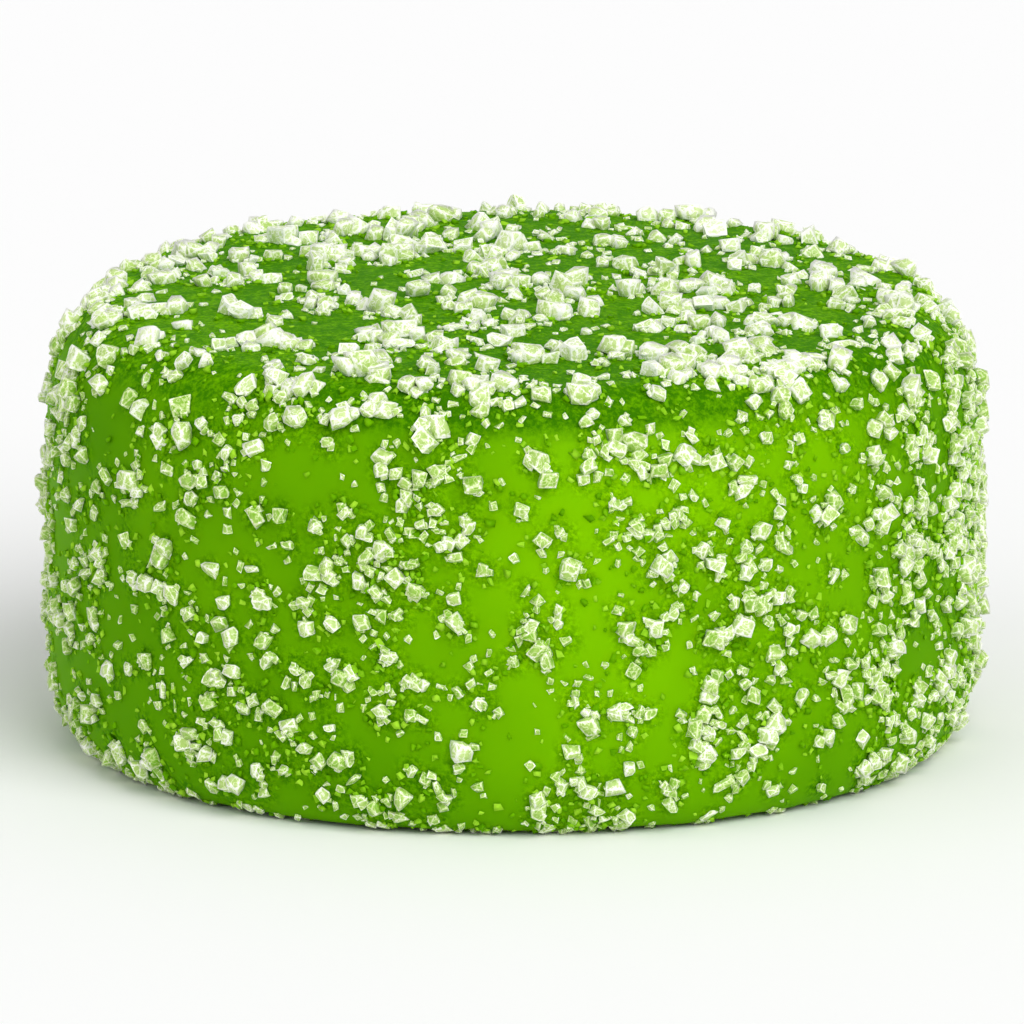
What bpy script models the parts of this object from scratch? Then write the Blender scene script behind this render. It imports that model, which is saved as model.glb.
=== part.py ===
"""A round jelly sweet rolled in coarse sugar, standing on the flat of its base at z = 0.

The jelly is one turned body with a softly rounded shoulder and foot, and a faintly domed top. Sugar
crystals lie half sunk in its skin all over, singly and in clumps, a little thicker on the top face.
Jelly and sugar are one solid. Lengths are in metres and +Z is up.
"""

import math
import random

import bmesh
import bpy
from mathutils import Matrix, Vector

MM = 0.001

# Size of the jelly under its sugar
BODY_RADIUS = 12.65 * MM
BODY_HEIGHT = 12.4 * MM
TOP_DOME = 0.25 * MM
SHOULDER_WIDTH = 2.0 * MM
SHOULDER_DEPTH = 3.3 * MM
FOOT_WIDTH = 1.1 * MM
FOOT_DEPTH = 2.6 * MM

# Unevenness of a cast jelly: an oval, low lobes that wind up the side, and a bulge to one side
OVAL_WAVE = 0.03 * MM
OVAL_HEADING = math.radians(-20)
LOBE_WAVE = 0.05 * MM
LOBES = 5
LOBE_TWIST = math.radians(170)
BULGE_WAVE = 0.06 * MM
BULGE_HEADING = math.radians(120)

# Facets of the turned body
SEGMENTS = 56
TOP_RINGS = 3
SHOULDER_RINGS = 5
SIDE_RINGS = 2
FOOT_RINGS = 4

# Sugar: each kind has its number, the length range of its crystals, how many lie in a clump,
# and the share of it that lies on the top
SEED = 20
CRYSTAL_KINDS = (
    {"count": 46, "length": (1.10 * MM, 1.50 * MM), "crystals": 2, "top_share": 0.58},
    {"count": 112, "length": (0.80 * MM, 1.05 * MM), "crystals": 1, "top_share": 0.46},
    {"count": 108, "length": (0.60 * MM, 0.78 * MM), "crystals": 1, "top_share": 0.38},
)
CRYSTAL_WIDTH = (0.60, 0.95)
CRYSTAL_THICKNESS = (0.45, 0.75)
CORNER_JITTER = 0.13
CLUMP_SPREAD = 0.55
CLUMP_TAPER = 0.22
CLUMP_SINK = 0.10 * MM

# How crystals sit: the share of one that stands proud, the most it stands proud, its tilt, the gap
# left to the floor, and how many sites are tried for each
SHARE_PROUD = (0.40, 0.62)
MOST_PROUD = 0.36 * MM
MOST_TILT = math.radians(26)
FLOOR_GAP = 0.22 * MM
CANDIDATE_SITES = 14

JELLY_COLOUR = (0.105, 0.330, 0.004, 1.0)
JELLY_ROUGHNESS = 0.38
SUGAR_COLOUR = (0.780, 0.840, 0.620, 1.0)
SUGAR_ROUGHNESS = 0.30


def clear_scene():
    """Remove whatever objects the scene opened with."""
    for item in list(bpy.data.objects):
        bpy.data.objects.remove(item, do_unlink=True)


def make_material(name, colour, roughness):
    """Return a Principled material of one colour, which is not metallic."""
    material = bpy.data.materials.new(name)
    material.use_nodes = True
    shader = material.node_tree.nodes["Principled BSDF"]
    shader.inputs["Base Color"].default_value = colour
    shader.inputs["Roughness"].default_value = roughness
    shader.inputs["Metallic"].default_value = 0.0
    material.diffuse_color = colour
    return material


def quarter_arc(centre, width, depth, rings, start_angle):
    """Return a quarter ellipse's points, from start_angle down by 90 degrees, without the first."""
    points = []
    for step in range(1, rings + 1):
        angle = start_angle - math.pi / 2 * step / rings
        points.append((centre[0] + width * math.cos(angle), centre[1] + depth * math.sin(angle)))
    return points


def body_profile():
    """Return (radius, height) points down the jelly's side, from the top centre to the rim of the base."""
    top_radius = BODY_RADIUS - SHOULDER_WIDTH
    side_top = BODY_HEIGHT - TOP_DOME - SHOULDER_DEPTH
    points = []
    for ring in range(TOP_RINGS + 1):
        share = ring / TOP_RINGS
        points.append((top_radius * share, BODY_HEIGHT - TOP_DOME * share**2))
    shoulder_centre = (top_radius, side_top)
    points += quarter_arc(shoulder_centre, SHOULDER_WIDTH, SHOULDER_DEPTH, SHOULDER_RINGS, math.pi / 2)
    for ring in range(1, SIDE_RINGS + 1):
        points.append((BODY_RADIUS, side_top + (FOOT_DEPTH - side_top) * ring / SIDE_RINGS))
    foot_centre = (BODY_RADIUS - FOOT_WIDTH, FOOT_DEPTH)
    points += quarter_arc(foot_centre, FOOT_WIDTH, FOOT_DEPTH, FOOT_RINGS, 0.0)
    return points


def skin_point(azimuth, radius, height):
    """Return a point of the uneven skin, whose waves run only outwards and inwards."""
    up = height / BODY_HEIGHT
    swell = OVAL_WAVE * math.cos(2 * (azimuth - OVAL_HEADING))
    swell += LOBE_WAVE * math.sin(LOBES * azimuth + LOBE_TWIST * up)
    swell += BULGE_WAVE * math.cos(azimuth - BULGE_HEADING) * math.sin(math.pi * up)
    uneven = radius * (1 + swell / BODY_RADIUS)
    return Vector((uneven * math.cos(azimuth), uneven * math.sin(azimuth), height))


def build_body(materials):
    """Turn the profile into the closed body, whose base is one flat face."""
    bm = bmesh.new()
    profile = body_profile()
    crown = bm.verts.new(skin_point(0.0, *profile[0]))
    angles = [2 * math.pi * step / SEGMENTS for step in range(SEGMENTS)]
    rings = []
    for radius, height in profile[1:]:
        rings.append([bm.verts.new(skin_point(angle, radius, height)) for angle in angles])
    for step in range(SEGMENTS):
        after = (step + 1) % SEGMENTS
        bm.faces.new((crown, rings[0][step], rings[0][after]))
        for upper, lower in zip(rings, rings[1:]):
            bm.faces.new((upper[step], lower[step], lower[after], upper[after]))
    base = bm.faces.new(rings[-1])
    bmesh.ops.recalc_face_normals(bm, faces=bm.faces[:])
    for face in bm.faces:
        face.smooth = face is not base
    mesh = bpy.data.meshes.new("sugared_jelly")
    bm.to_mesh(mesh)
    bm.free()
    for material in materials:
        mesh.materials.append(material)
    body = bpy.data.objects.new("sugared_jelly", mesh)
    bpy.context.scene.collection.objects.link(body)
    return body


def share_along(rng, radius_a, radius_b):
    """Return a random share of the way across a band, at an equal chance for an equal area."""
    while True:
        along = rng.random()
        if rng.random() * max(radius_a, radius_b) <= radius_a + (radius_b - radius_a) * along:
            return along


class Skin:
    """The jelly's skin as bands round it, chosen by their area, on which crystals find their places."""

    def __init__(self):
        bands = []
        profile = body_profile()
        for (radius_a, height_a), (radius_b, height_b) in zip(profile, profile[1:]):
            length = math.hypot(radius_b - radius_a, height_b - height_a)
            area = length * math.pi * (radius_a + radius_b)
            outward = Vector((height_a - height_b, radius_b - radius_a)).normalized()
            rims = {"a": (radius_a, height_a), "b": (radius_b, height_b)}
            bands.append(rims | {"area": area, "out": outward})
        bands_on_top = TOP_RINGS + SHOULDER_RINGS // 2
        self.top = bands[:bands_on_top]
        self.side = bands[bands_on_top:]

    def random_site(self, rng, bands):
        """Return a point of the given bands and its outward normal."""
        band = rng.choices(bands, weights=[entry["area"] for entry in bands])[0]
        (radius_a, height_a), (radius_b, height_b) = band["a"], band["b"]
        along = share_along(rng, radius_a, radius_b)
        azimuth = rng.uniform(0.0, 2 * math.pi)
        radius = radius_a + (radius_b - radius_a) * along
        point = skin_point(azimuth, radius, height_a + (height_b - height_a) * along)
        outward = band["out"]
        normal = Vector((outward.x * math.cos(azimuth), outward.x * math.sin(azimuth), outward.y))
        return point, normal


def roomiest_site(rng, skin, bands, reach, sites):
    """Return the point and normal, of a few drawn at random, that lie furthest from other crystals."""
    roomiest = None
    most_room = -BODY_RADIUS
    drawn = 0
    while drawn < CANDIDATE_SITES:
        point, normal = skin.random_site(rng, bands)
        if point.z < FLOOR_GAP + reach / 2:
            continue
        drawn += 1
        room = min(((point - site["point"]).length - site["reach"] / 2 for site in sites), default=0.0)
        if room > most_room:
            roomiest = (point, normal)
            most_room = room
    return roomiest


def place_crystals(rng):
    """Return the crystals' sites, the largest placed first and each where there is room."""
    skin = Skin()
    sites = []
    for kind in CRYSTAL_KINDS:
        lengths = sorted((rng.uniform(*kind["length"]) for _ in range(kind["count"])), reverse=True)
        for length in lengths:
            reach = length * (1 + CLUMP_SPREAD * (kind["crystals"] - 1))
            bands = skin.top if rng.random() < kind["top_share"] else skin.side
            point, normal = roomiest_site(rng, skin, bands, reach, sites)
            site = {"point": point, "normal": normal, "length": length, "reach": reach}
            sites.append(site | {"crystals": kind["crystals"]})
    return sites


def crystal_mesh(rng, length, material):
    """Return one broken-edged sugar crystal: the hull of a box with jittered corners."""
    size = (length, length * rng.uniform(*CRYSTAL_WIDTH), length * rng.uniform(*CRYSTAL_THICKNESS))
    bm = bmesh.new()
    for x in (-0.5, 0.5):
        for y in (-0.5, 0.5):
            for z in (-0.5, 0.5):
                corner = [end + rng.uniform(-CORNER_JITTER, CORNER_JITTER) for end in (x, y, z)]
                bm.verts.new([share * side for share, side in zip(corner, size)])
    bmesh.ops.convex_hull(bm, input=bm.verts[:])
    bmesh.ops.recalc_face_normals(bm, faces=bm.faces[:])
    mesh = bpy.data.meshes.new("crystal")
    bm.to_mesh(mesh)
    bm.free()
    mesh.materials.append(material)
    return mesh


def crystal_pose(rng, mesh, point, normal, most_proud):
    """Return the matrix of a crystal half sunk in the skin, turned at random and tilted a little."""
    turn = Matrix.Rotation(rng.uniform(0.0, 2 * math.pi), 4, "Z")
    tilt = Matrix.Rotation(rng.uniform(-MOST_TILT, MOST_TILT), 4, "X")
    lie = normal.to_track_quat("Z", "Y").to_matrix().to_4x4() @ turn @ tilt
    heights = [normal.dot(lie @ corner.co) for corner in mesh.vertices]
    proud = min(most_proud, (max(heights) - min(heights)) * rng.uniform(*SHARE_PROUD))
    return Matrix.Translation(point + normal * (proud - max(heights))) @ lie


def build_crystals(material):
    """Make every crystal as an object of one helper collection."""
    rng = random.Random(SEED)
    collection = bpy.data.collections.new("crystals")
    bpy.context.scene.collection.children.link(collection)
    for site in place_crystals(rng):
        normal = site["normal"]
        tangent = normal.orthogonal().normalized()
        for index in range(site["crystals"]):
            length = site["length"] * (1 - CLUMP_TAPER * index)
            mesh = crystal_mesh(rng, length, material)
            heading = Matrix.Rotation(rng.uniform(0.0, 2 * math.pi), 4, normal)
            aside = heading @ tangent * (CLUMP_SPREAD * length * index)
            crystal = bpy.data.objects.new("crystal", mesh)
            most_proud = MOST_PROUD - CLUMP_SINK * index
            crystal.matrix_world = crystal_pose(rng, mesh, site["point"] + aside, normal, most_proud)
            collection.objects.link(crystal)
    return collection


def fuse(body, collection):
    """Join the crystals to the body by one union in which each keeps its material, then remove them."""
    union = body.modifiers.new("fuse_sugar", "BOOLEAN")
    union.operation = "UNION"
    union.operand_type = "COLLECTION"
    union.collection = collection
    union.solver = "EXACT"
    union.material_mode = "TRANSFER"
    graph = bpy.context.evaluated_depsgraph_get()
    fused = bpy.data.meshes.new_from_object(body.evaluated_get(graph), depsgraph=graph)
    body.modifiers.clear()
    body.data = fused
    for crystal in list(collection.objects):
        bpy.data.objects.remove(crystal, do_unlink=True)
    bpy.data.collections.remove(collection)


def keep_outer_shell(body):
    """Keep only the shell with the most faces, which fills sealed hollows and drops loose scraps."""
    bm = bmesh.new()
    bm.from_mesh(body.data)
    unseen = set(bm.faces)
    shells = []
    while unseen:
        shell = {unseen.pop()}
        edge_of_search = list(shell)
        while edge_of_search:
            face = edge_of_search.pop()
            for edge in face.edges:
                for neighbour in edge.link_faces:
                    if neighbour in unseen:
                        unseen.remove(neighbour)
                        shell.add(neighbour)
                        edge_of_search.append(neighbour)
        shells.append(shell)
    outer = max(shells, key=len)
    scraps = [face for shell in shells if shell is not outer for face in shell]
    bmesh.ops.delete(bm, geom=scraps, context="FACES")
    bmesh.ops.triangulate(bm, faces=bm.faces[:])
    bm.to_mesh(body.data)
    bm.free()


def main():
    clear_scene()
    jelly = make_material("green_jelly", JELLY_COLOUR, JELLY_ROUGHNESS)
    sugar = make_material("white_sugar", SUGAR_COLOUR, SUGAR_ROUGHNESS)
    body = build_body((jelly, sugar))
    crystals = build_crystals(sugar)
    fuse(body, crystals)
    keep_outer_shell(body)


main()
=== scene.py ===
"""Looks of a round green jelly sweet that is coated in coarse sugar.

The jelly is remade with a finer skin. Its sugar is remade at true size: clumps, single crystals, small
grains and wet grains that have turned green, each kind one mesh. Lengths are in metres and +Z is up.
"""

import math
import random

import bmesh
import bpy
import numpy as np
from mathutils import Matrix, Vector, kdtree, noise


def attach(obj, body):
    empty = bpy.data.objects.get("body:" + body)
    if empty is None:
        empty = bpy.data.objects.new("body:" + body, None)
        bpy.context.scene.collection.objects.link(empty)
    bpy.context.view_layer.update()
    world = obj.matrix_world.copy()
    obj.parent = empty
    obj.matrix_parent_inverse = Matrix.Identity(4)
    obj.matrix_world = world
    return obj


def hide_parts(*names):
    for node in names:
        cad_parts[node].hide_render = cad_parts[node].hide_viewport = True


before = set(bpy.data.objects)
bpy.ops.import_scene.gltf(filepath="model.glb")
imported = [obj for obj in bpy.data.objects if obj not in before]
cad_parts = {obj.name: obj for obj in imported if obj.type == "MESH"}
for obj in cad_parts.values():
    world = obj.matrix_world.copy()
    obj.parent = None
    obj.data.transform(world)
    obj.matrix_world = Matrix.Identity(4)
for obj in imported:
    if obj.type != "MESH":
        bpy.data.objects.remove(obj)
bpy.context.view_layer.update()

MM = 0.001
NODE = "sugared_jelly"
BODY = "root"

# Size of the jelly under its sugar, as in the solid; it stands on the crystals under its base
BODY_RADIUS = 12.65 * MM
BODY_HEIGHT = 12.4 * MM
TOP_DOME = 0.25 * MM
SHOULDER_WIDTH = 2.0 * MM
SHOULDER_DEPTH = 3.3 * MM
FOOT_WIDTH = 1.1 * MM
FOOT_DEPTH = 2.6 * MM
BASE_LIFT = 0.10 * MM

# Unevenness of a cast jelly, as in the solid: an oval, low lobes that wind up the side, and a bulge
OVAL_WAVE = 0.03 * MM
OVAL_HEADING = math.radians(-20)
LOBE_WAVE = 0.05 * MM
LOBES = 5
LOBE_TWIST = math.radians(170)
BULGE_WAVE = 0.06 * MM
BULGE_HEADING = math.radians(120)

# Fine skin of the jelly
SEGMENTS = 380
RING_SPACING = 0.18 * MM
RIPPLE_DEPTH = 0.030 * MM
RIPPLE_SIZE = 1.3 * MM

# Beside a crystal the skin has a rough crust and painted shade, and it is clear of both this far from one
CRUST_AND_SHADE_FULL = 0.20 * MM
CRUST_AND_SHADE_REACH = 0.60 * MM
CRUST_DEPTH = 0.075 * MM
CRUST_SIZE = 0.36 * MM

# How thick the sugar lies, as the chance that it sticks: on the side, at the far right of it, on the
# top's rim in front and at its left and right, and within that rim; patches thin and thicken it, from
# PATCH_LEAST of that chance up by PATCH_SWING
SIDE_CHANCE = 0.295
RIGHT_CHANCE = 0.60
RIM_CHANCE = 0.48
RIM_CHANCE_ASIDE = 0.33
TOP_CHANCE = 0.215
RIGHT_STARTS = 0.62
RIGHT_FULL = 0.95
RIM_STARTS = 0.87
RIM_FULL = 0.95
RIM_RADIUS = 10.9 * MM
TOP_RADIUS = 10.0 * MM
PATCH_SIZE = 1.7 * MM
PATCH_OFFSET = Vector((3.1, 0.4, 9.2))
PATCH_LEAST = 0.40
PATCH_SWING = 1.2

# Crystals: the share that are rods, the share worn round, how much larger they are on the top, how
# far they pile up there, and the most that one stands proud of the skin on the side and on the top
ROD_SHARE = 0.09
WORN_SHARE = 0.75
TOP_GROWTH = 0.32
TOP_PILE = 0.40
MOST_PROUD = 0.38 * MM
MOST_PROUD_ON_TOP = 0.70 * MM

# Shapes to draw from, for crystals of unit size: how many, how far their corners stray, how many of
# the corners are broken off, and how far the faces stand out
BLOCK_SHAPES = {"number": 48, "stray": 0.19, "cuts": (4, 5, 6, 7), "bulge": 0.05}
CHIP_SHAPES = {"number": 24, "stray": 0.27, "cuts": (1, 2, 2, 3), "bulge": 0.04}
SPECK_SHAPES = {"number": 24, "stray": 0.30, "cuts": (0, 1), "bulge": 0.0}
CUT_SLOPE = (0.15, 1.0)
CUT_REACH = (0.66, 0.86)
MERGE_DISTANCE = 0.03

# Shortest and longest of each kind, with the commonest length of the single crystals
CLUMP_LENGTH = (0.24 * MM, 0.48 * MM)
SINGLE_LENGTH = (0.19 * MM, 0.53 * MM, 0.28 * MM)
CRUMB_LENGTH = (0.10 * MM, 0.22 * MM)
GRAIN_LENGTH = (0.10 * MM, 0.28 * MM)
WET_GRAIN_LENGTH = (0.07 * MM, 0.22 * MM)

# Widths and thicknesses, as shares of the length
ROD_STRETCH = 1.4
ROD_WIDTH = (0.40, 0.55)
ROD_THICKNESS = (0.35, 0.50)
CRYSTAL_WIDTH = (0.60, 1.0)
GRAIN_WIDTH = (0.55, 1.0)
GRAIN_THICKNESS = (0.5, 0.9)

# How many crystals lie in a clump, how many more on the top, and how many crumbs lie round each
CLUMP_MEMBERS = (2, 2, 2, 3, 3)
CLUMP_EXTRA_ON_TOP = (0, 1, 1)
CLUMP_CRUMBS = (1, 2, 2, 3)
SINGLE_CRUMBS = (0, 0, 1, 1, 2)

# How crystals sit: the bend of a chain of them, the steps to the next crystal and to a crumb as shares
# of the length, the shares of the thickness that stand proud, and the most tilt
CHAIN_BEND = 1.3
FIRST_STEP = 0.7
CHAIN_STEP = (0.55, 0.85)
CRUMB_STEP = (0.40, 0.62)
SHARE_PROUD = (0.65, 1.0)
CRUMB_SHARE_PROUD = (0.60, 1.6)
GRAIN_SHARE_PROUD = (0.55, 0.9)
MOST_TILT = math.radians(45)
MOST_CRUMB_TILT = math.radians(50)

# Small dry grains are dimmer than crystals; 1 is as bright as they come
GRAIN_BRIGHTEST = 0.6

# A surface that faces down more than this is the underside
FACES_DOWN = -0.5

# Number of each kind of sugar
CLUMPS = 370
CRYSTALS = 2250
GRAINS = 5100
WET_GRAINS = 13500

# The shares of the dry and the wet grains that lie round a crystal, and how far off
DRY_SHARE_ROUND = 0.60
WET_SHARE_ROUND = 0.85
ROUND_NEAR = 0.28 * MM
ROUND_FAR = 0.75 * MM

# The camera stands far off with a long lens, a little above the sweet
CAMERA_ELEVATION = math.radians(13.4)
CAMERA_DISTANCE = 600 * MM
CAMERA_LENS = 773.0
LOOK_AT = Vector((0.0, 0.0, 6.14 * MM))

# Painted light: a patch high on the front, a little to the right, lightened as if more light came through
# the jelly there
PAINTED_GLOW_PLACE = Vector((2.5 * MM, -12.0 * MM, 8.5 * MM))
PAINTED_GLOW_REACH = 14.0 * MM

# Heights, as shares of the body's, between which painted shade darkens the jelly towards the top, for the
# shadows between the grains there
SHADE_STARTS = 0.87
SHADE_FULL = 0.93

# Jelly: the sizes of its clouds, mottle and blotches, how rough and how darkened by painted shade the bare
# top is beside the crust, and how far each moves the colour along its ramp from dark to light; the mottle's
# middle lies above its mean, so it paints shade where it swings
JELLY_CLOUD_SIZE = 5.0 * MM
MOTTLE_SIZE = 0.13 * MM
MOTTLE_RANGE = (0.32, 0.68)
MOTTLE_SHADE_MIDDLE = 0.65
BLOTCH_SIZE = 0.40 * MM
BLOTCH_RANGE = (0.35, 0.65)
BLOTCH_MIDDLE = 0.50
TOP_ROUGHNESS_AND_SHADE = 0.75
JELLY_BASE = 0.05
JELLY_CLOUD = 0.50
JELLY_PAINTED_GLOW = 0.42
JELLY_TOP_SHADE = -0.09
JELLY_MOTTLE_AND_SHADE = 0.60
JELLY_BLOTCH = 0.26
JELLY_COLOURS = (
    (0.0, (0.040, 0.185, 0.0)),
    (0.5, (0.130, 0.370, 0.0)),
    (1.0, (0.260, 0.620, 0.0)),
)

# Sugar: the sizes of its clouds and flaws, how ragged its white rims are, and how far each whitens it; the
# white rims are a painted highlight along the crystals' edges, and the whitening by height is painted light,
# greener low down where light through the jelly tints a crystal
SUGAR_CLOUD_SIZE = 0.12 * MM
FLAW_SIZE = 0.17 * MM
FLAW_WIDTH = 0.05
RIM_RAGGEDNESS = 0.7
RIM_SHIFT = 0.35
RIM_RANGE = (0.62, 0.92)
SUGAR_BASE = -0.36
SUGAR_RIM_HIGHLIGHT = 0.48
SUGAR_FLAW = 0.38
SUGAR_CLOUD = 0.60
SUGAR_TINT = 0.44
SUGAR_HEIGHT_LIGHT = 0.14
SUGAR_TOP = 0.28
SUGAR_COLOURS = (
    (0.0, (0.190, 0.430, 0.010)),
    (0.30, (0.410, 0.610, 0.130)),
    (0.65, (0.670, 0.800, 0.380)),
    (1.0, (0.970, 0.990, 0.900)),
)

# Wet sugar: how far its clouds, its own tint and its height lighten it
WET_BASE = -0.25
WET_CLOUD = 0.50
WET_TINT = 0.80
WET_HEIGHT = 0.30
WET_COLOURS = (
    (0.0, (0.060, 0.230, 0.0)),
    (0.5, (0.140, 0.400, 0.0)),
    (1.0, (0.350, 0.680, 0.030)),
)

# Studio: each light's heading to the right of the camera, height and spread in degrees, and strength
KEY_LIGHT = (32, 42, 45, 2.0)
FILL_LIGHT = (-60, 25, 60, 0.45)
SKY_STRENGTH = 0.56
FLOOR_SIZE = 4.0
FLOOR_COLOUR = (0.95, 0.95, 0.95, 1.0)
FLOOR_ROUGHNESS = 0.9

SEED = 7


def quarter_arc(centre, width, depth, rings, start_angle):
    """Return a quarter ellipse's points, from start_angle down by 90 degrees, without the first."""
    points = []
    for step in range(1, rings + 1):
        angle = start_angle - math.pi / 2 * step / rings
        points.append((centre[0] + width * math.cos(angle), centre[1] + depth * math.sin(angle)))
    return points


def straight(start, end, rings):
    """Return the points of a straight run, without the first."""
    points = []
    for step in range(1, rings + 1):
        share = step / rings
        points.append((start[0] + (end[0] - start[0]) * share, start[1] + (end[1] - start[1]) * share))
    return points


def arc_rings(width, depth):
    """Return how many rings a quarter ellipse needs."""
    return round(math.pi / 2 * (width + depth) / 2 / RING_SPACING)


def body_profile():
    """Return (radius, height) points round the outline, from the top centre to the base's centre."""
    top_radius = BODY_RADIUS - SHOULDER_WIDTH
    side_top = BODY_HEIGHT - TOP_DOME - SHOULDER_DEPTH
    foot_radius = BODY_RADIUS - FOOT_WIDTH
    top_rings = round(top_radius / RING_SPACING)
    side_rings = round((side_top - FOOT_DEPTH) / RING_SPACING)
    points = []
    for ring in range(top_rings + 1):
        share = ring / top_rings
        points.append((top_radius * share, BODY_HEIGHT - TOP_DOME * share**2))
    shoulder_rings = arc_rings(SHOULDER_WIDTH, SHOULDER_DEPTH)
    shoulder_centre = (top_radius, side_top)
    points += quarter_arc(shoulder_centre, SHOULDER_WIDTH, SHOULDER_DEPTH, shoulder_rings, math.pi / 2)
    points += straight((BODY_RADIUS, side_top), (BODY_RADIUS, FOOT_DEPTH), side_rings)
    foot_centre = (foot_radius, FOOT_DEPTH)
    points += quarter_arc(foot_centre, FOOT_WIDTH, FOOT_DEPTH, arc_rings(FOOT_WIDTH, FOOT_DEPTH), 0.0)
    points += straight((foot_radius, 0.0), (0.0, 0.0), top_rings)
    squeeze = 1 - BASE_LIFT / BODY_HEIGHT
    return np.array([(radius, BASE_LIFT + height * squeeze) for radius, height in points])


PROFILE = body_profile()


def skin_point(azimuth, radius, height):
    """Return a point of the uneven skin, whose waves run only outwards and inwards."""
    up = height / BODY_HEIGHT
    swell = OVAL_WAVE * math.cos(2 * (azimuth - OVAL_HEADING))
    swell += LOBE_WAVE * math.sin(LOBES * azimuth + LOBE_TWIST * up)
    swell += BULGE_WAVE * math.cos(azimuth - BULGE_HEADING) * math.sin(math.pi * up)
    uneven = radius * (1 + swell / BODY_RADIUS)
    return Vector((uneven * math.cos(azimuth), uneven * math.sin(azimuth), height))


def skin_normal(azimuth, ring):
    """Return the outward direction of the skin at one of the profile's rings."""
    before = PROFILE[max(ring - 1, 0)]
    after = PROFILE[min(ring + 1, len(PROFILE) - 1)]
    along = Vector((after[0] - before[0], after[1] - before[1])).normalized()
    return Vector((-along.y * math.cos(azimuth), -along.y * math.sin(azimuth), along.x))


def onto_skin(point):
    """Return the place on the skin that a point beside it belongs to, and the outward normal there."""
    azimuth = math.atan2(point.y, point.x)
    gaps = PROFILE - np.array((math.hypot(point.x, point.y), point.z))
    ring = int(np.argmin(np.square(gaps).sum(axis=1)))
    normal = skin_normal(azimuth, ring)
    radius, height = PROFILE[ring]
    return point - normal * (point - skin_point(azimuth, radius, height)).dot(normal), normal


def link(item):
    """Show an object in the scene."""
    bpy.context.scene.collection.objects.link(item)
    return item


def build_jelly(material, coat):
    """Turn the fine skin, with low ripples all over it and a rough crust beside the crystals, keeping how
    crusted each point is, which also sets the painted shade there.
    """
    points = []
    normals = []
    for ring, (radius, height) in enumerate(PROFILE[1:-1], start=1):
        for step in range(SEGMENTS):
            azimuth = 2 * math.pi * step / SEGMENTS
            points.append(skin_point(azimuth, radius, height))
            normals.append(skin_normal(azimuth, ring))
    crust_and_shade = crust_and_shade_values(points, coat) + [0.0, 0.0]
    for index, (point, normal) in enumerate(zip(points, normals)):
        ripple = RIPPLE_DEPTH * noise.noise(point / RIPPLE_SIZE)
        rough = CRUST_DEPTH * crust_and_shade[index] * noise.noise(point / CRUST_SIZE)
        points[index] = point + normal * (ripple + rough)
    crown = len(points)
    points += [Vector((0, 0, PROFILE[0][1])), Vector((0, 0, PROFILE[-1][1]))]
    rings = len(PROFILE) - 2
    faces = []
    for step in range(SEGMENTS):
        after = (step + 1) % SEGMENTS
        faces.append((crown, step, after))
        for ring in range(rings - 1):
            upper, lower = ring * SEGMENTS, (ring + 1) * SEGMENTS
            faces.append((upper + step, lower + step, lower + after, upper + after))
        last = (rings - 1) * SEGMENTS
        faces.append((last + after, last + step, crown + 1))
    mesh = bpy.data.meshes.new("jelly_body")
    mesh.from_pydata(points, [], faces)
    mesh.shade_smooth()
    mesh.attributes.new("crust_and_shade", "FLOAT", "POINT").data.foreach_set("value", crust_and_shade)
    mesh.materials.append(material)
    return link(bpy.data.objects.new("jelly_body", mesh))


def crust_and_shade_values(points, coat):
    """Return for each point how crusted it is and how deep its painted shade is, from 1 beside a crystal of
    the coat to 0 well away.
    """
    sites = [site for piece in coat for site in piece.sites]
    tree = kdtree.KDTree(len(sites))
    for index, (centre, _) in enumerate(sites):
        tree.insert(centre, index)
    tree.balance()
    return [fade(tree.find(point)[2], CRUST_AND_SHADE_REACH, CRUST_AND_SHADE_FULL) for point in points]


def crystal_shape(rng, stray, cuts, bulge):
    """Return a broken crystal of unit size as corners, triangles and a rim value for each corner.

    The crystal is a block whose corners are broken off by flat cuts. The rim value is 1 along the edges
    of its faces and 0 in their middles, which stand out by the bulge.
    """
    bm = bmesh.new()
    bmesh.ops.create_cube(bm, size=1.0)
    for vert in bm.verts:
        vert.co += Vector([rng.uniform(-stray, stray) for _ in range(3)])
    for _ in range(cuts):
        towards = Vector([rng.choice((-1, 1)) * rng.uniform(*CUT_SLOPE) for _ in range(3)]).normalized()
        reach = max(towards.dot(vert.co) for vert in bm.verts)
        everything = bm.verts[:] + bm.edges[:] + bm.faces[:]
        cut_at = towards * reach * rng.uniform(*CUT_REACH)
        bmesh.ops.bisect_plane(
            bm, geom=everything, plane_co=cut_at, plane_no=towards, clear_outer=True, dist=1e-5
        )
        bmesh.ops.holes_fill(bm, edges=[edge for edge in bm.edges if edge.is_boundary])
    bmesh.ops.remove_doubles(bm, verts=bm.verts[:], dist=MERGE_DISTANCE)
    rims = set(bm.verts)
    if bulge:
        bmesh.ops.poke(bm, faces=bm.faces[:], offset=bulge)
    bmesh.ops.triangulate(bm, faces=bm.faces[:])
    bmesh.ops.recalc_face_normals(bm, faces=bm.faces[:])
    bm.verts.index_update()
    corners = np.array([vert.co[:] for vert in bm.verts])
    rim_values = np.array([1.0 if vert in rims else 0.0 for vert in bm.verts])
    triangles = np.array([[vert.index for vert in face.verts] for face in bm.faces])
    bm.free()
    return corners, triangles, rim_values


def crystal_shapes(rng, kind):
    """Return the shapes of one kind of crystal."""
    shapes = []
    for _ in range(kind["number"]):
        shapes.append(crystal_shape(rng, kind["stray"], rng.choice(kind["cuts"]), kind["bulge"]))
    return shapes


def fade(value, start, full):
    """Return 0 at start and 1 at full, with a smooth rise between."""
    share = min(1.0, max(0.0, (value - start) / (full - start)))
    return share * share * (3 - 2 * share)


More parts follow.
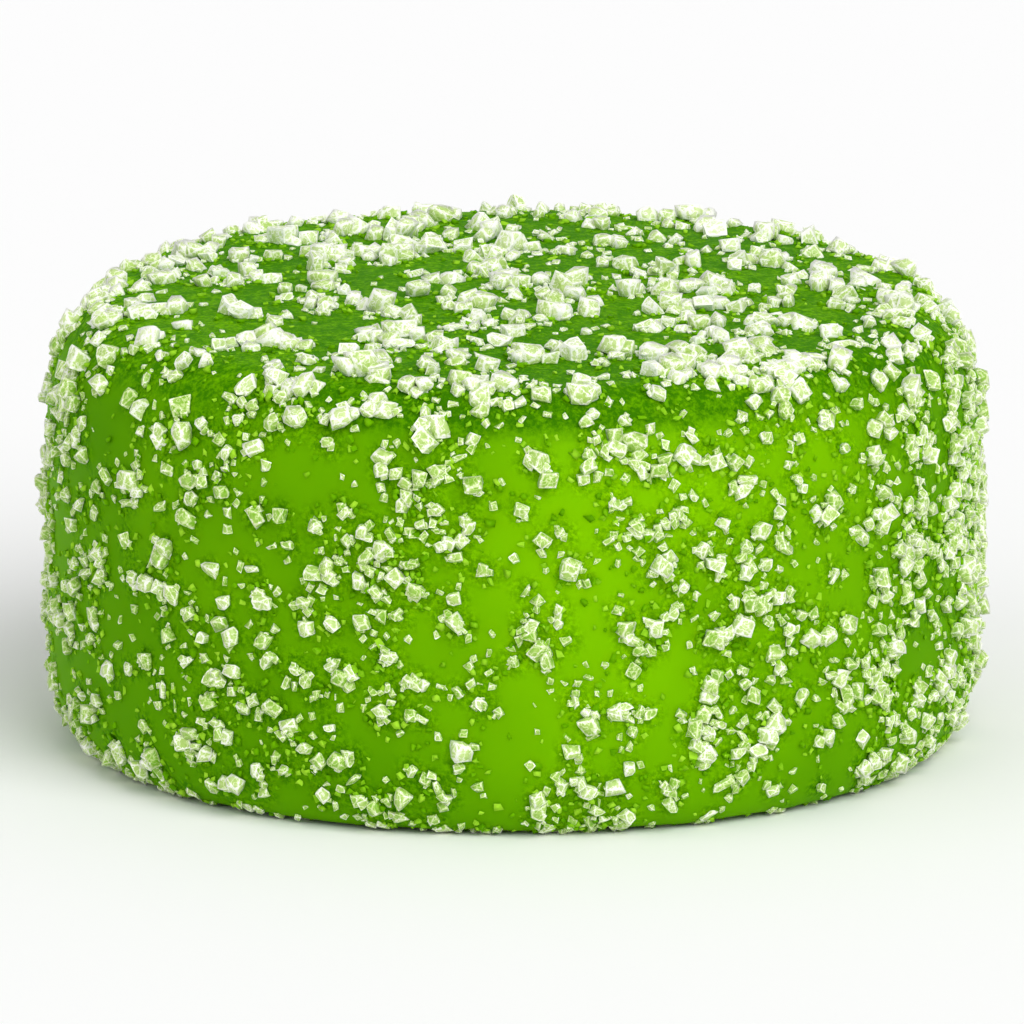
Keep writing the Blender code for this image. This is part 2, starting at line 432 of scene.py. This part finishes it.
def coat_chance(point):
    """Return the chance, up to 1, that sugar sticks at a point of the skin."""
    radius = math.hypot(point.x, point.y)
    to_right = point.x / max(radius, MM)
    chance = SIDE_CHANCE + (RIGHT_CHANCE - SIDE_CHANCE) * fade(to_right, RIGHT_STARTS, RIGHT_FULL)
    rim_chance = RIM_CHANCE + (RIM_CHANCE_ASIDE - RIM_CHANCE) * abs(to_right)
    chance += (rim_chance - chance) * fade(point.z / BODY_HEIGHT, RIM_STARTS, RIM_FULL)
    if point.z > BODY_HEIGHT / 2:
        chance += (TOP_CHANCE - chance) * fade(radius, RIM_RADIUS, TOP_RADIUS)
    patch = 0.5 + 0.5 * noise.noise(point / PATCH_SIZE + PATCH_OFFSET)
    return min(1.0, chance * (PATCH_LEAST + PATCH_SWING * patch))


class Skin:
    """The jelly's skin, from which sites for sugar are drawn by area and by how thick the coat is."""

    def __init__(self):
        steps = np.diff(PROFILE, axis=0)
        middles = (PROFILE[1:, 0] + PROFILE[:-1, 0]) / 2
        areas = np.hypot(steps[:, 0], steps[:, 1]) * middles
        self.bands = range(len(areas))
        self.area_sums = np.cumsum(areas).tolist()

    def draw(self, rng):
        """Return a point where sugar sticks, and its outward normal."""
        while True:
            ring = rng.choices(self.bands, cum_weights=self.area_sums)[0]
            along = rng.random()
            radius, height = PROFILE[ring] * (1 - along) + PROFILE[ring + 1] * along
            azimuth = rng.uniform(-math.pi, math.pi)
            point = skin_point(azimuth, radius, height)
            if rng.random() < coat_chance(point):
                return point, skin_normal(azimuth, ring)


SKIN = Skin()


class SugarPiece:
    """One kind of sugar, gathered crystal by crystal and made into one mesh."""

    def __init__(self, name, shapes, brightest=1.0):
        self.name = name
        self.shapes = shapes
        self.brightest = brightest
        self.sites = []
        self.corners = []
        self.triangles = []
        self.rims = []
        self.tints = []
        self.heights = []
        self.worn = []
        self.count = 0

    def add(self, rng, centre, normal, size, most_tilt, proud, shapes=None):
        """Set one crystal in the skin, its highest corner proud by the given height, above the floor."""
        corners, triangles, rims = rng.choice(shapes or self.shapes)
        roll = Matrix.Rotation(rng.choice((0, 1, 2, 3)) * math.pi / 2, 3, "X")
        turn = Matrix.Rotation(rng.uniform(0.0, 2 * math.pi), 3, "Z")
        tilt = Matrix.Rotation(rng.uniform(-most_tilt, most_tilt), 3, "X")
        lie = normal.to_track_quat("Z", "Y").to_matrix() @ turn @ tilt
        placed = (corners @ np.array(roll).T * np.array(size)) @ np.array(lie).T
        outward = np.array(normal)
        heights = placed @ outward
        if normal.z < FACES_DOWN:
            proud = min(proud, BASE_LIFT)
        placed = placed + np.array(centre) + outward * (proud - heights.max())
        placed[:, 2] += max(0.0, -placed[:, 2].min())
        self.sites.append((centre, normal))
        self.corners.append(placed)
        self.triangles.append(triangles + self.count)
        self.rims.append(rims)
        self.tints.append(np.full(len(placed), rng.random() * self.brightest))
        self.worn.append(np.full(len(triangles), rng.random() < WORN_SHARE))
        self.heights.append((heights - heights.min()) / (heights.max() - heights.min()))
        self.count += len(placed)

    def build(self, material):
        """Make the mesh of every crystal added, the worn ones smooth, with what the material reads."""
        corners = np.concatenate(self.corners)
        triangles = np.concatenate(self.triangles)
        mesh = bpy.data.meshes.new(self.name)
        mesh.vertices.add(len(corners))
        mesh.vertices.foreach_set("co", corners.ravel())
        mesh.loops.add(triangles.size)
        mesh.loops.foreach_set("vertex_index", triangles.ravel())
        mesh.polygons.add(len(triangles))
        mesh.polygons.foreach_set("loop_start", np.arange(0, triangles.size, 3))
        mesh.polygons.foreach_set("use_smooth", np.concatenate(self.worn))
        mesh.update(calc_edges=True)
        for name, values in (("rim", self.rims), ("tint", self.tints), ("height", self.heights)):
            layer = mesh.attributes.new(name, "FLOAT", "POINT")
            layer.data.foreach_set("value", np.concatenate(values))
        mesh.materials.append(material)
        return link(bpy.data.objects.new(self.name, mesh))


def crystal_size(rng, length):
    """Return the length, width and thickness of a crystal, once in a while a long rod."""
    if rng.random() < ROD_SHARE:
        return (length * ROD_STRETCH, length * rng.uniform(*ROD_WIDTH), length * rng.uniform(*ROD_THICKNESS))
    return (length, length * rng.uniform(*CRYSTAL_WIDTH), length * rng.uniform(*CRYSTAL_WIDTH))


def across(rng, normal, tangent):
    """Return a direction along the skin at a random heading."""
    return Matrix.Rotation(rng.uniform(0.0, 2 * math.pi), 3, normal) @ tangent


def add_cluster(piece, rng, centre, normal, lengths, crumbs, chips):
    """Stick crystals together, each next one against one that is there, with crumbs round them."""
    tangent = normal.orthogonal().normalized()
    heading = rng.uniform(0.0, 2 * math.pi)
    on_top = max(0.0, normal.z)
    most_proud = MOST_PROUD + (MOST_PROUD_ON_TOP - MOST_PROUD) * on_top
    places = []
    for length in lengths:
        heading += rng.uniform(-CHAIN_BEND, CHAIN_BEND)
        aside = Matrix.Rotation(heading, 3, normal) @ tangent
        host = rng.choice(places[-2:]) if places else centre - aside * length * FIRST_STEP
        place, outward = onto_skin(host + aside * length * rng.uniform(*CHAIN_STEP))
        places.append(place)
        size = crystal_size(rng, length)
        pile = on_top * TOP_PILE * rng.random() if len(places) > 1 else 0.0
        proud = min(most_proud, size[2] * (rng.uniform(*SHARE_PROUD) + pile))
        piece.add(rng, place, outward, size, MOST_TILT, proud)
    for _ in range(crumbs):
        host = rng.randrange(len(places))
        aside = across(rng, normal, tangent)
        place, outward = onto_skin(places[host] + aside * lengths[host] * rng.uniform(*CRUMB_STEP))
        size = crystal_size(rng, rng.uniform(*CRUMB_LENGTH))
        proud = size[2] * rng.uniform(*CRUMB_SHARE_PROUD)
        piece.add(rng, place, outward, size, MOST_CRUMB_TILT, proud, chips)


def add_clumps(piece, rng, chips):
    """Scatter clumps, which are larger on the top."""
    for _ in range(CLUMPS):
        centre, normal = SKIN.draw(rng)
        on_top = max(0.0, normal.z)
        number = rng.choice(CLUMP_MEMBERS)
        if rng.random() < on_top:
            number += rng.choice(CLUMP_EXTRA_ON_TOP)
        lengths = [rng.uniform(*CLUMP_LENGTH) * (1 + TOP_GROWTH * on_top) for _ in range(number)]
        add_cluster(piece, rng, centre, normal, lengths, rng.choice(CLUMP_CRUMBS), chips)


def add_crystals(piece, rng, chips):
    """Scatter single crystals, many with a crumb or two against them."""
    for _ in range(CRYSTALS):
        centre, normal = SKIN.draw(rng)
        length = rng.triangular(*SINGLE_LENGTH) * (1 + TOP_GROWTH * max(0.0, normal.z))
        add_cluster(piece, rng, centre, normal, [length], rng.choice(SINGLE_CRUMBS), chips)


def add_grains(piece, rng, number, share_round, hosts, shortest, longest):
    """Scatter small grains, and set the given share of them round the crystals of the host pieces."""
    sites = [site for host in hosts for site in host.sites]
    for _ in range(number):
        centre, normal = SKIN.draw(rng)
        if rng.random() < share_round:
            centre, normal = rng.choice(sites)
            aside = across(rng, normal, normal.orthogonal().normalized())
            centre, normal = onto_skin(centre + aside * rng.uniform(ROUND_NEAR, ROUND_FAR))
        length = rng.triangular(shortest, longest, (2 * shortest + longest) / 3)
        size = (length, length * rng.uniform(*GRAIN_WIDTH), length * rng.uniform(*GRAIN_THICKNESS))
        piece.add(rng, centre, normal, size, MOST_TILT, size[2] * rng.uniform(*GRAIN_SHARE_PROUD))


def feed(tree, value, socket):
    """Give a node's input either another node's output or a number."""
    if isinstance(value, bpy.types.NodeSocket):
        tree.links.new(value, socket)
    else:
        socket.default_value = value


def calculate(tree, operation, *values):
    """Add a maths node and return its output."""
    node = tree.nodes.new("ShaderNodeMath")
    node.operation = operation
    for value, socket in zip(values, node.inputs):
        feed(tree, value, socket)
    return node.outputs[0]


def add_up(tree, base, parts):
    """Add nodes that add parts, each a value and its weight, to a base, and return their output."""
    total = base
    for value, weight in parts:
        total = calculate(tree, "MULTIPLY_ADD", value, weight, total)
    return total


def ease(tree, value, start, full):
    """Add a node that rises smoothly from 0 at start to 1 at full, and return its output."""
    node = tree.nodes.new("ShaderNodeMapRange")
    node.interpolation_type = "SMOOTHSTEP"
    feed(tree, value, node.inputs["Value"])
    node.inputs["From Min"].default_value = start
    node.inputs["From Max"].default_value = full
    return node.outputs["Result"]


def noise_texture(tree, place, size, detail, roughness):
    """Add a cloudy texture of the given feature size and return its output."""
    node = tree.nodes.new("ShaderNodeTexNoise")
    tree.links.new(place, node.inputs["Vector"])
    node.inputs["Scale"].default_value = 1 / size
    node.inputs["Detail"].default_value = detail
    node.inputs["Roughness"].default_value = roughness
    return node.outputs["Fac"]


def flaw_lines(tree, place, size, width):
    """Add thin winding lines, as of flaws in a crystal, and return 1 on them and 0 between."""
    centred = calculate(tree, "SUBTRACT", noise_texture(tree, place, size, 1.0, 0.5), 0.5)
    return ease(tree, calculate(tree, "ABSOLUTE", centred), width, width / 4)


def colour_ramp(tree, value, stops):
    """Add a ramp through (position, colour) stops and return its output."""
    node = tree.nodes.new("ShaderNodeValToRGB")
    elements = node.color_ramp.elements
    while len(elements) < len(stops):
        elements.new(0.5)
    for element, (position, colour) in zip(elements, stops):
        element.position = position
        element.color = (*colour, 1.0)
    feed(tree, value, node.inputs["Fac"])
    return node.outputs["Color"]


def new_material(name):
    """Return a material with its node tree, its shader and its place in the object's own lengths."""
    material = bpy.data.materials.new(name)
    material.use_nodes = True
    tree = material.node_tree
    place = tree.nodes.new("ShaderNodeTexCoord").outputs["Object"]
    return material, tree, tree.nodes["Principled BSDF"], place


def attribute_value(tree, name):
    """Add a node that reads a value kept on the mesh and return its output."""
    node = tree.nodes.new("ShaderNodeAttribute")
    node.attribute_name = name
    return node.outputs["Fac"]


def add_bump(tree, shader, height, strength, distance):
    """Roughen a shader's surface by a height value."""
    bump = tree.nodes.new("ShaderNodeBump")
    bump.inputs["Strength"].default_value = strength
    bump.inputs["Distance"].default_value = distance
    feed(tree, height, bump.inputs["Height"])
    tree.links.new(bump.outputs["Normal"], shader.inputs["Normal"])


def height_on_body(tree, place):
    """Return the height of a place above the floor."""
    split = tree.nodes.new("ShaderNodeSeparateXYZ")
    tree.links.new(place, split.inputs[0])
    return split.outputs["Z"]


def swing(tree, value, middle, strength):
    """Return how far a value is from its middle, times a strength that varies over the surface."""
    return calculate(tree, "MULTIPLY", calculate(tree, "SUBTRACT", value, middle), strength)


def painted_glow_value(tree, place, top):
    """Return the painted glow at a place, 1 at its middle and 0 far from it and on the top."""
    away = tree.nodes.new("ShaderNodeVectorMath")
    away.operation = "DISTANCE"
    tree.links.new(place, away.inputs[0])
    away.inputs[1].default_value = PAINTED_GLOW_PLACE
    glow = ease(tree, away.outputs["Value"], PAINTED_GLOW_REACH, 0.0)
    return calculate(tree, "MULTIPLY", glow, calculate(tree, "SUBTRACT", 1.0, top))


def jelly_material():
    """Green jelly with a painted glow on the front, clear on the bare side, and mottled and darkened by
    painted shade on top and where crusted.
    """
    material, tree, shader, place = new_material("green_jelly")
    crust_and_shade = attribute_value(tree, "crust_and_shade")
    mottle = ease(tree, noise_texture(tree, place, MOTTLE_SIZE, 3.0, 0.65), *MOTTLE_RANGE)
    blotches = ease(tree, noise_texture(tree, place, BLOTCH_SIZE, 2.0, 0.6), *BLOTCH_RANGE)
    height = height_on_body(tree, place)
    top = ease(tree, height, BODY_HEIGHT * SHADE_STARTS, BODY_HEIGHT * SHADE_FULL)
    # The crust, and the bare top, roughen the skin and set where the mottle paints shade
    rough = calculate(tree, "MAXIMUM", crust_and_shade, calculate(tree, "MULTIPLY", top, TOP_ROUGHNESS_AND_SHADE))
    parts = (
        (noise_texture(tree, place, JELLY_CLOUD_SIZE, 1.0, 0.5), JELLY_CLOUD),
        # Painted light: the glow patch lightens the front
        (painted_glow_value(tree, place, top), JELLY_PAINTED_GLOW),
        # Painted shade: the top is darker, for the shadows between its grains
        (top, JELLY_TOP_SHADE),
        # Painted shade: the mottle darkens the jelly beside the crystals and on the top, as well as mottling
        # it
        (swing(tree, mottle, MOTTLE_SHADE_MIDDLE, rough), JELLY_MOTTLE_AND_SHADE),
        (swing(tree, blotches, BLOTCH_MIDDLE, top), JELLY_BLOTCH),
    )
    level = add_up(tree, JELLY_BASE, parts)
    tree.links.new(colour_ramp(tree, level, JELLY_COLOURS), shader.inputs["Base Color"])
    add_bump(tree, shader, calculate(tree, "MULTIPLY", rough, mottle), 0.5, 0.04 * MM)
    shader.inputs["Roughness"].default_value = 0.5
    shader.inputs["Specular IOR Level"].default_value = 0.01
    shader.inputs["Subsurface Weight"].default_value = 0.6
    shader.inputs["Subsurface Radius"].default_value = (0.8, 1.0, 0.15)
    shader.inputs["Subsurface Scale"].default_value = 1.0 * MM
    return material


def sugar_material():
    """Clear sugar: white along the edges of its faces as a painted highlight and along flaws, tinted by the
    jelly between and painted greener low down.
    """
    material, tree, shader, place = new_material("white_sugar")
    height = height_on_body(tree, place)
    cloud = noise_texture(tree, place, SUGAR_CLOUD_SIZE, 2.0, 0.6)
    rim = calculate(tree, "SUBTRACT", attribute_value(tree, "rim"), RIM_SHIFT)
    ragged_rim = calculate(tree, "MULTIPLY_ADD", cloud, RIM_RAGGEDNESS, rim)
    parts = (
        # Painted highlight: the rims whiten along the crystals' edges
        (ease(tree, ragged_rim, *RIM_RANGE), SUGAR_RIM_HIGHLIGHT),
        (flaw_lines(tree, place, FLAW_SIZE, FLAW_WIDTH), SUGAR_FLAW),
        (cloud, SUGAR_CLOUD),
        (attribute_value(tree, "tint"), SUGAR_TINT),
        # Painted light: each crystal is whiter towards its top and greener low down, where light through the
        # jelly tints it
        (attribute_value(tree, "height"), SUGAR_HEIGHT_LIGHT),
        (ease(tree, height, BODY_HEIGHT * RIM_STARTS, BODY_HEIGHT), SUGAR_TOP),
    )
    whiteness = add_up(tree, SUGAR_BASE, parts)
    tree.links.new(colour_ramp(tree, whiteness, SUGAR_COLOURS), shader.inputs["Base Color"])
    add_bump(tree, shader, cloud, 1.0, 0.03 * MM)
    shader.inputs["Roughness"].default_value = 0.25
    shader.inputs["Specular IOR Level"].default_value = 0.4
    shader.inputs["Sheen Weight"].default_value = 0.4
    shader.inputs["Sheen Roughness"].default_value = 0.3
    return material


def wet_sugar_material():
    """Wet sugar that has turned as green as the jelly, from dark to bright."""
    material, tree, shader, place = new_material("wet_sugar")
    parts = (
        (noise_texture(tree, place, SUGAR_CLOUD_SIZE, 2.0, 0.6), WET_CLOUD),
        (attribute_value(tree, "tint"), WET_TINT),
        (attribute_value(tree, "height"), WET_HEIGHT),
    )
    level = add_up(tree, WET_BASE, parts)
    tree.links.new(colour_ramp(tree, level, WET_COLOURS), shader.inputs["Base Color"])
    shader.inputs["Roughness"].default_value = 0.4
    shader.inputs["Specular IOR Level"].default_value = 0.02
    return material


def build_camera():
    """Set the camera a little above the sweet, looking along +Y."""
    data = bpy.data.cameras.new("camera")
    data.lens = CAMERA_LENS
    data.clip_start = 10 * MM
    camera = link(bpy.data.objects.new("camera", data))
    back = Vector((0.0, -math.cos(CAMERA_ELEVATION), math.sin(CAMERA_ELEVATION)))
    camera.location = LOOK_AT + back * CAMERA_DISTANCE
    camera.rotation_euler = (math.pi / 2 - CAMERA_ELEVATION, 0.0, 0.0)
    bpy.context.scene.camera = camera


def sun_light(name, heading, elevation, spread, strength):
    """Shine a soft white light from a heading, turned right from the camera, and from a height."""
    data = bpy.data.lights.new(name, "SUN")
    data.energy = strength
    data.angle = math.radians(spread)
    light = link(bpy.data.objects.new(name, data))
    light.rotation_euler = (math.radians(90 - elevation), 0.0, math.radians(heading))


def build_studio():
    """Lay a pale floor, with soft light all round and a key light from above on the right."""
    world = bpy.data.worlds.new("studio")
    world.use_nodes = True
    background = world.node_tree.nodes["Background"]
    background.inputs["Color"].default_value = (1.0, 1.0, 1.0, 1.0)
    background.inputs["Strength"].default_value = SKY_STRENGTH
    bpy.context.scene.world = world
    sun_light("key", *KEY_LIGHT)
    sun_light("fill", *FILL_LIGHT)
    material = bpy.data.materials.new("floor")
    material.use_nodes = True
    shader = material.node_tree.nodes["Principled BSDF"]
    shader.inputs["Base Color"].default_value = FLOOR_COLOUR
    shader.inputs["Roughness"].default_value = FLOOR_ROUGHNESS
    bpy.ops.mesh.primitive_plane_add(size=FLOOR_SIZE)
    floor = bpy.context.active_object
    floor.name = "floor"
    floor.data.materials.append(material)
    bpy.context.scene.view_settings.view_transform = "Standard"


def main():
    """Make the jelly and its coat of sugar, give each piece its slot and its body, and hide the node they
    replace.
    """
    rng = random.Random(SEED)
    blocks = crystal_shapes(rng, BLOCK_SHAPES)
    chips = crystal_shapes(rng, CHIP_SHAPES)
    specks = crystal_shapes(rng, SPECK_SHAPES)
    clumps = SugarPiece("sugar_clumps", blocks)
    add_clumps(clumps, rng, chips)
    crystals = SugarPiece("sugar_crystals", blocks)
    add_crystals(crystals, rng, chips)
    coat = (clumps, crystals)
    grains = SugarPiece("sugar_grains", chips, GRAIN_BRIGHTEST)
    add_grains(grains, rng, GRAINS, DRY_SHARE_ROUND, coat, *GRAIN_LENGTH)
    wet_grains = SugarPiece("wet_sugar_grains", specks)
    add_grains(wet_grains, rng, WET_GRAINS, WET_SHARE_ROUND, coat, *WET_GRAIN_LENGTH)
    green = [build_jelly(jelly_material(), coat), wet_grains.build(wet_sugar_material())]
    sugar = sugar_material()
    white = [piece.build(sugar) for piece in (clumps, crystals, grains)]
    for piece in green + white:
        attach(piece, BODY)
        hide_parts(NODE)


build_camera()
build_studio()
main()
